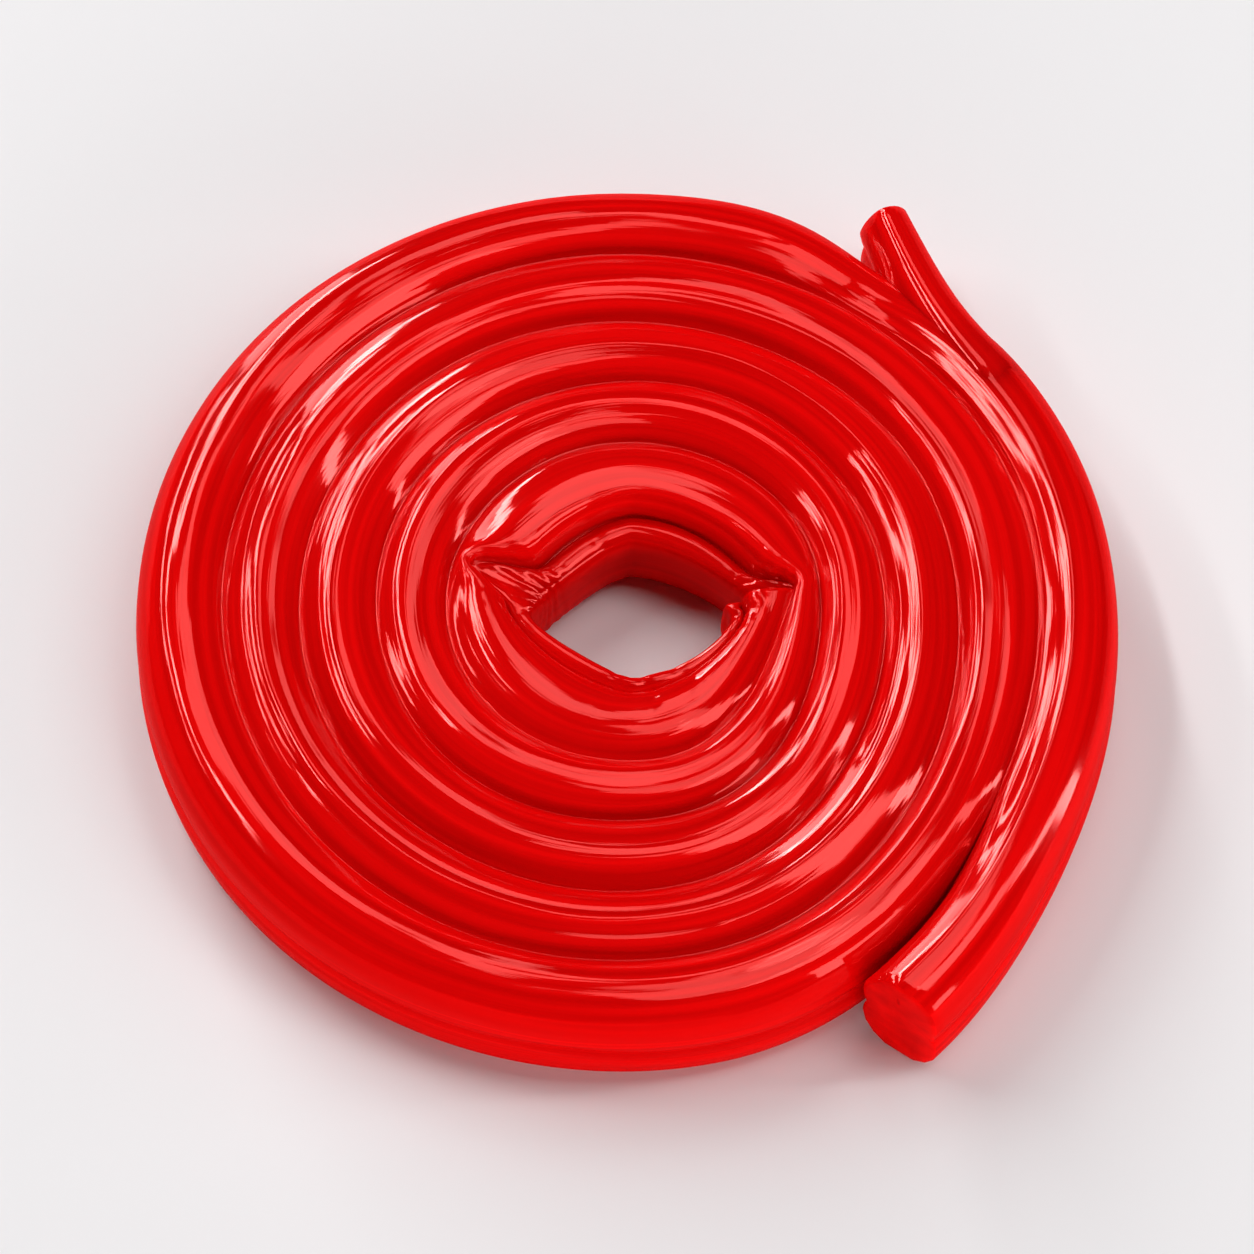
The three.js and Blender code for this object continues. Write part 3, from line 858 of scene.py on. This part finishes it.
    def wall_grid(self, s: Sections, side: Face) -> np.ndarray:
        """Points down an open side of the upright ribbon: the upper cord, the waist and the lower cord.

        A side is flat where a neighbour presses it, and has both cords' round form where it is free.

        Args:
            s: The sections.
            side: The outer or the inner side.

        Returns:
            A grid of points, with the two edges.
        """
        name = side.name.lower()
        top, under, free = s[f"{name}_top"], s[f"{name}_under"], s[f"{name}_free"]
        down = np.linspace(0.0, 1.0, self.wall_points + 2)[None, :]
        soft = self.ribbon.waist_softness
        apart = (np.hypot(2.0 * down - 1.0, soft) - soft) / (math.hypot(1.0, soft) - soft)
        angle = self.ribbon.waist_angle * (1.0 - mix(soft, 1.0, apart))
        drop = (top - under) / 2.0 * np.sin(angle) / math.sin(self.ribbon.waist_angle * (1.0 - soft))
        round_height = np.where(down < 0.5, top - drop, under + drop)
        inset = self.ribbon.cord_radius * (1.0 - np.cos(angle)) * free
        radius = s[name] - inset if side is Face.OUTER else s[name] + inset
        return self.points(s, radius, mix(mix(top, under, down), round_height, free))

    def hub_grid(self, s: Sections) -> np.ndarray:
        """Points down the side of the hole: the lower cord, which lies nearer the middle.

        The side is part of an ellipse, from the waist over the cord's top and its innermost line to its foot.
        At a pinched corner its upper side is lifted into a crease.

        Args:
            s: The sections.

        Returns:
            A grid of points, with the two edges.
        """
        place = self.hub.waist_place
        angle = np.linspace(place, 1.5 * np.pi, self.hub_points + 2)[None, :]
        above = angle < np.pi
        across, up = self.lower_outline(angle)
        reach = 1.0 + across
        widest = float(reach[0, 0])
        share = reach / widest
        upper_width = (s["inner"] - s["hole"]) / widest
        width = np.where(above, upper_width, s["foot"] - s["hole"])
        middle, half = self.lower_cord()
        rise = (s["inner_top"] - self.waist_height()) * share**self.hub.crease_power
        lift = np.where(above, rise, 0.0)
        return self.points(s, s["hole"] + width * reach, middle + half * up + lift)

    def tip_grid(self) -> tuple[np.ndarray, np.ndarray, np.ndarray]:
        """Points of the loose tip: the whole outline of the ribbon at places along it.

        The outline runs from the outer waist over the upper cord to the inner waist, and back over the
        lower cord. The lines of the coil's last turn run on over its top.

        Returns:
            A grid of points, and its UV places along and across the ribbon.
        """
        tip, ribbon = self.tip, self.ribbon
        angle = np.linspace(*tip.span, self.tip_steps + 1)
        middle = tip.middle(angle)
        along = middle - tip.middle(angle - SMALL_ANGLE)
        along /= np.linalg.norm(along, axis=-1, keepdims=True)
        rooted, share = tip.rooted(angle), tip.share(angle)
        half_width = mix(*tip.half_width, share) * mix(1.0, tip.root_share, rooted)
        turn = (self.coil.start_angle - angle) / (2.0 * np.pi) + tip.turn
        height = self.crest_height(turn) + mix(tip.rise, -tip.root_drop, rooted) - tip.drop * share

        place = np.arange(self.tip_points) / self.tip_points
        upper = mix(-ribbon.waist_angle, np.pi + ribbon.waist_angle, place)
        lower = mix(np.pi - ribbon.waist_angle, 2.0 * np.pi + ribbon.waist_angle, place)
        offset = ribbon.height / 2.0 - ribbon.cord_radius
        round_angle = np.concatenate([upper, lower])
        centre = ribbon.height / 2.0 + np.repeat([offset, -offset], self.tip_points)
        level = centre + ribbon.cord_radius * np.sin(round_angle) - ribbon.land_depth
        level = np.maximum(level, 0.0) / ribbon.height
        outwards = np.cos(round_angle)[None, :] * half_width[:, None]
        right = np.stack([along[:, 1], -along[:, 0]], axis=-1)
        flat = middle[:, None] + right[:, None] * outwards[..., None]
        grid = np.concatenate([flat, (level[None, :] * height[:, None])[..., None]], axis=-1)

        length = np.interp(turn, *self.length_table())[:, None]
        across = (1.0 - np.concatenate([upper, lower + 2.0 * ribbon.waist_angle]) / np.pi)[None, :]
        return grid, length, across * self.strip_width

    def length_table(self) -> tuple[np.ndarray, np.ndarray]:
        """Give places along the ribbon in turns, and their distances from its start in millimetres."""
        s = self.sections(np.linspace(0.0, self.coil.turns, self.table_steps))
        return s["turn"][:, 0], s["along"][:, 0]

    def cut_rings(self, edge: np.ndarray, facing: np.ndarray) -> np.ndarray:
        """Points of a cut face: rings that shrink from its outline towards its middle, domed near the edge.

        Args:
            edge: The cut's outline, as points.
            facing: The way that the cut faces.

        Returns:
            One row of points for each ring.
        """
        centre = edge.mean(0)
        shares = np.array(self.end.ring_shares)
        rise = self.end.edge_round * np.sqrt(1.0 - shares**self.end.edge_power)
        return centre + (edge - centre)[None] * shares[:, None, None] + facing * rise[:, None, None]

    def build_mesh(self) -> bpy.types.Mesh:
        """Work out the whole coil as strips that share their edges, and close its two cut ends.

        Neighbouring turns share the points of the groove between them, up to where the outer end peels away.

        Returns:
            The mesh, in metres, with its UV map.
        """
        n = self.steps_per_turn
        last = round(self.coil.turns * n)
        peel = last - round(self.end.peel_span * n)
        rim = peel - n
        s = self.sections(np.arange(last + 1) * (self.coil.turns / last))
        grids: list[np.ndarray] = []

        def part(first: int, past: int) -> Sections:
            """Take some of the sections."""
            return {name: value[first:past] for name, value in s.items()}

        def add(grid: np.ndarray) -> np.ndarray:
            """Keep a grid of points, and number them.

            Args:
                grid: The points.

            Returns:
                Their numbers, in the same rows and columns.
            """
            first = sum(len(kept) for kept in grids)
            grids.append(grid.reshape(-1, 3))
            return first + np.arange(len(grids[-1])).reshape(grid.shape[:2])

        def strip(index: np.ndarray, first: int, face: Face, turned: bool) -> Strip:
            """Give a strip its UV places: millimetres along the ribbon, and across it.

            Args:
                index: Its grid of point numbers.
                first: The section of its first row.
                face: Which way it faces.
                turned: Whether the faces' corners run the other way.

            Returns:
                The strip.
            """
            here = part(first, first + index.shape[0])
            across = (face.value + self.columns(here, index.shape[1], face)) * self.strip_width
            return Strip(index, here["along"], across, turned)

        rim_part = part(rim + 1, last + 1)
        peel_part = part(peel, last + 1)
        hub_part = part(0, n + 1)
        top_in = add(self.points(s, s["inner"], s["inner_top"]))
        under_in = add(self.points(s, s["foot"], s["inner_under"]))
        rim_top = add(self.points(rim_part, rim_part["outer"], rim_part["outer_top"]))
        rim_under = add(self.points(rim_part, rim_part["outer_foot"], rim_part["outer_under"]))
        top_out = np.vstack([top_in[n:peel + 1], rim_top])
        under_out = np.vstack([under_in[n:peel + 1], rim_under])

        top = np.hstack([top_in, add(self.finished(s, self.top_grid(s), Face.TOP)), top_out])
        under = np.hstack([under_in, add(self.under_grid(s)), under_out])
        hub_points = self.finished(hub_part, self.hub_grid(hub_part), Face.INNER)
        hub = np.hstack([top_in[:n + 1], add(hub_points), under_in[:n + 1]])
        peel_points = self.wall_grid(peel_part, Face.INNER)[:, 1:-1]
        peel_wall = np.hstack([top_in[peel:], add(peel_points), under_in[peel:]])
        rim_points = self.finished(rim_part, self.wall_grid(rim_part, Face.OUTER), Face.OUTER)
        rim_wall = np.hstack([rim_top, add(rim_points), rim_under])
        rim_wall = np.vstack([peel_wall[:1], rim_wall])
        strips = [
            strip(top, 0, Face.TOP, False),
            strip(under, 0, Face.UNDER, True),
            strip(hub, 0, Face.INNER, True),
            strip(peel_wall, peel, Face.INNER, True),
            strip(rim_wall, rim, Face.OUTER, False),
        ]

        tip_points, tip_along, tip_across = self.tip_grid()
        wrapped = np.hstack([tip_points[:, -1:], tip_points, tip_points[:, :1]])
        wrapped_across = np.pad(tip_across, ((0, 0), (1, 1)), mode="edge")
        tip = add(self.raised(wrapped, self.relief(tip_along, wrapped_across))[:, 1:-1])
        closed_across = np.pad(tip_across, ((0, 0), (0, 1)), mode="edge")
        strips.append(Strip(np.hstack([tip, tip[:, :1]]), tip_along, closed_across, False))

        def close(outline: np.ndarray, ahead: np.ndarray, lowest: int, turned: bool) -> None:
            """Close a cut, whose outline lies next to the outline ahead of it.

            Rings run inwards from the outline, and a ladder of level rungs fills the last ring. The UV places
            are the points' radii and heights, scaled so that the drawn lines turn into a soft mottle.

            Args:
                outline: Point numbers round the cut. Their count is even.
                ahead: Point numbers round the section next to it.
                lowest: Place in the outline of its lowest point.
                turned: Whether the faces' corners run the other way.
            """
            points = np.vstack(grids)
            facing = (points[outline] - points[ahead]).mean(0) * (1.0, 1.0, 0.0)
            rings = self.cut_rings(points[outline], facing / np.linalg.norm(facing))
            index = np.vstack([outline[None], add(rings)])
            places = np.vstack([points[outline][None], rings])
            along = self.cut_mottle[0] * np.linalg.norm(places[..., :2], axis=-1)
            across = Face.CUT.value * self.strip_width + self.cut_mottle[1] * places[..., 2]
            count = len(outline)
            around = np.arange(count + 1) % count
            strips.append(Strip(index[:, around], along[:, around], across[:, around], turned))
            order = (np.arange(count) + lowest) % count
            rungs = np.stack([order[:count // 2], order[::-1][:count // 2]])
            strips.append(Strip(index[-1][rungs], along[-1][rungs], across[-1][rungs], turned))

        def outline(row: int, outer: np.ndarray, inner: np.ndarray) -> np.ndarray:
            """Point numbers round the coil's section in one row."""
            return np.concatenate([under[row], outer[1:-1][::-1], top[row][::-1], inner[1:-1]])

        lowest = (self.under_points + 1) // 2
        close(outline(0, hub[-1], hub[0]), outline(1, hub[-1], hub[1]), lowest, False)
        end = outline(-1, rim_wall[-1], peel_wall[-1])
        close(end, outline(-2, rim_wall[-2], peel_wall[-2]), lowest, True)
        lowest = self.tip_points * 3 // 2
        close(tip[0], tip[1], lowest, True)
        close(tip[-1], tip[-2], lowest, False)

        points = np.vstack(grids)
        points[:, :2] -= (points[:, :2].min(0) + points[:, :2].max(0)) / 2.0
        points[:, 2] = np.maximum(points[:, 2], 0.0)
        return self.fill_mesh(points, strips)

    def fill_mesh(self, points: np.ndarray, strips: list[Strip]) -> bpy.types.Mesh:
        """Put points and strips into a mesh.

        Args:
            points: All points, in millimetres.
            strips: The strips of faces.

        Returns:
            The mesh, in metres.
        """
        made = [strip.faces() for strip in strips]
        quads = np.concatenate([quad for quad, _ in made])
        places = np.concatenate([place for _, place in made])
        mesh = bpy.data.meshes.new(NODE)
        mesh.vertices.add(len(points))
        mesh.vertices.foreach_set("co", (points * MM).astype(np.float32).ravel())
        mesh.loops.add(quads.size)
        mesh.loops.foreach_set("vertex_index", quads.astype(np.int32).ravel())
        mesh.polygons.add(len(quads))
        mesh.polygons.foreach_set("loop_start", np.arange(0, quads.size, 4, dtype=np.int32))
        mesh.update(calc_edges=True)
        uv = mesh.uv_layers.new(name=UV_NAME)
        uv.data.foreach_set("uv", places.astype(np.float32).ravel())
        mesh.polygons.foreach_set("use_smooth", np.ones(len(quads), dtype=bool))
        return mesh

    def build(self) -> bpy.types.Object:
        """Make the wheel's object and dress it.

        Returns:
            The object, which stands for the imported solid.
        """
        mesh = self.build_mesh()
        mesh.materials.append(self.finish.build())
        wheel = bpy.data.objects.new("wheel_skin", mesh)
        bpy.context.collection.objects.link(wheel)
        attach(wheel, "root")
        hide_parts(NODE)
        return wheel


def seen_or_returned(tree: bpy.types.NodeTree, seen: Colour, returned: Colour) -> bpy.types.NodeSocket:
    """Choose a colour of the studio by the ray that asks for it.

    Args:
        tree: The node tree that gets the choice.
        seen: The colour that the camera sees.
        returned: The colour of the light that is given back.

    Returns:
        The socket that holds the chosen colour.
    """
    path = tree.nodes.new("ShaderNodeLightPath")
    choice = tree.nodes.new("ShaderNodeMix")
    choice.data_type = "RGBA"
    choice.inputs["A"].default_value = returned
    choice.inputs["B"].default_value = seen
    tree.links.new(path.outputs["Is Camera Ray"], choice.inputs["Factor"])
    return choice.outputs["Result"]


@dataclass(frozen=True)
class Lamp:
    """A rectangular lamp, given by how it looks from the wheel.

    Azimuths are in degrees from the back, clockwise as seen from above. The spans are the angles that the
    lamp takes up, the glow is its brightness, and the roll leans its top to the right. A fill lamp lights the
    gum, but doesn't show in its gloss.
    """

    name: str
    azimuth: float
    elevation: float
    spans: tuple[float, float]
    glow: float
    roll: float = 0.0
    fill: bool = False
    distance: float = 0.6

    def build(self, target: Vector) -> None:
        """Add the lamp, facing the wheel: its watts are its area times its glow, by a fixed rate.

        Args:
            target: The place that it faces.
        """
        turn, rise = math.radians(self.azimuth), math.radians(self.elevation)
        level = math.cos(rise)
        away = Vector((level * math.sin(turn), level * math.cos(turn), math.sin(rise)))
        width, height = (2.0 * self.distance * math.tan(math.radians(span) / 2.0) for span in self.spans)
        light = bpy.data.lights.new(self.name, "AREA")
        light.shape = "RECTANGLE"
        light.size = width
        light.size_y = height
        light.energy = WATTS_TO_GLOW * width * height * self.glow
        lamp = bpy.data.objects.new(self.name, light)
        lamp.location = target + away * self.distance
        facing = (-away).to_track_quat("-Z", "Y") @ Quaternion((0.0, 0.0, 1.0), math.radians(self.roll))
        lamp.rotation_euler = facing.to_euler()
        lamp.visible_glossy = not self.fill
        bpy.context.collection.objects.link(lamp)


@dataclass(frozen=True)
class Studio:
    """A plain pale floor, soft lights and the camera.

    The floor and the sky have one colour as the camera sees them, and a redder one for the light that they
    give back to the gum.
    """

    elevation: float = math.radians(60.6)
    lens: float = 500.0
    distance: float = 0.91
    target: tuple[float, float, float] = (0.0, 0.0, 0.0035)
    floor_reach: float = 3.0
    floor_seen: Colour = (0.78, 0.78, 0.79, 1.0)
    floor_returned: Colour = (0.90, 0.05, 0.05, 1.0)
    floor_roughness: float = 0.7
    sky: float = 0.03
    backdrop: float = 0.85
    sky_seen: Colour = (1.0, 1.0, 1.0, 1.0)
    sky_returned: Colour = (1.0, 0.35, 0.33, 1.0)
    lamps: tuple[Lamp, ...] = (
        Lamp("window_left", azimuth=-54.0, elevation=34.0, spans=(4.0, 46.0), glow=11.0, roll=-56.0),
        Lamp("window_slit", azimuth=-33.0, elevation=41.0, spans=(4.5, 60.0), glow=16.0, roll=-32.0),
        Lamp("window_edge", azimuth=-26.0, elevation=12.0, spans=(12.0, 28.0), glow=4.0),
        Lamp("soft_right", azimuth=92.0, elevation=62.0, spans=(18.0, 34.0), glow=3.6),
        Lamp("low_right", azimuth=122.0, elevation=15.0, spans=(26.0, 18.0), glow=3.5),
        Lamp("slit_right", azimuth=86.0, elevation=20.0, spans=(4.5, 44.0), glow=9.0),
        Lamp("soft_top", azimuth=40.0, elevation=78.0, spans=(14.0, 22.0), glow=2.0),
        Lamp("soft_back", azimuth=2.0, elevation=56.0, spans=(14.0, 15.0), glow=2.3),
        Lamp("fill_front", azimuth=180.0, elevation=10.0, spans=(80.0, 16.0), glow=5.0, fill=True),
    )

    def floor(self) -> None:
        """Make the floor, which isn't part of the object."""
        reach = self.floor_reach
        corners = [(-reach, -reach, 0.0), (reach, -reach, 0.0), (reach, reach, 0.0), (-reach, reach, 0.0)]
        mesh = bpy.data.meshes.new("floor")
        mesh.from_pydata(corners, [], [(0, 1, 2, 3)])
        material = bpy.data.materials.new("pale_floor")
        material.use_nodes = True
        tree = material.node_tree
        shader = tree.nodes["Principled BSDF"]
        colour = seen_or_returned(tree, self.floor_seen, self.floor_returned)
        tree.links.new(colour, shader.inputs["Base Color"])
        shader.inputs["Roughness"].default_value = self.floor_roughness
        mesh.materials.append(material)
        floor = bpy.data.objects.new("floor", mesh)
        bpy.context.collection.objects.link(floor)

    def surroundings(self) -> None:
        """Make the sky: dim as a light, and pale where the camera sees past the floor."""
        world = bpy.data.worlds.new("studio")
        world.use_nodes = True
        tree = world.node_tree
        background = tree.nodes["Background"]
        path = tree.nodes.new("ShaderNodeLightPath")
        strength = tree.nodes.new("ShaderNodeMapRange")
        strength.inputs["To Min"].default_value = self.sky
        strength.inputs["To Max"].default_value = self.backdrop
        tree.links.new(path.outputs["Is Camera Ray"], strength.inputs["Value"])
        tree.links.new(strength.outputs["Result"], background.inputs["Strength"])
        colour = seen_or_returned(tree, self.sky_seen, self.sky_returned)
        tree.links.new(colour, background.inputs["Color"])
        bpy.context.scene.world = world

    def camera(self) -> None:
        """Put the camera at the photograph's viewing angle."""
        camera = bpy.data.cameras.new("camera")
        camera.lens = self.lens
        eye = bpy.data.objects.new("camera", camera)
        away = Vector((0.0, -math.cos(self.elevation), math.sin(self.elevation)))
        eye.location = Vector(self.target) + away * self.distance
        eye.rotation_euler = (-away).to_track_quat("-Z", "Y").to_euler()
        bpy.context.collection.objects.link(eye)
        bpy.context.scene.camera = eye
        bpy.context.scene.view_settings.view_transform = "Standard"

    def build(self) -> None:
        """Set up floor, lamps, sky and camera."""
        self.floor()
        for lamp in self.lamps:
            lamp.build(Vector(self.target))
        self.surroundings()
        self.camera()


def main() -> None:
    """Build the wheel and the studio."""
    logging.basicConfig(level=logging.INFO, format="%(name)s: %(message)s")
    wheel = LicoriceWheel().build()
    LOG.info("%s has %d faces", wheel.name, len(wheel.data.polygons))
    Studio().build()
    bpy.context.view_layer.update()


if __name__ == "__main__":
    main()
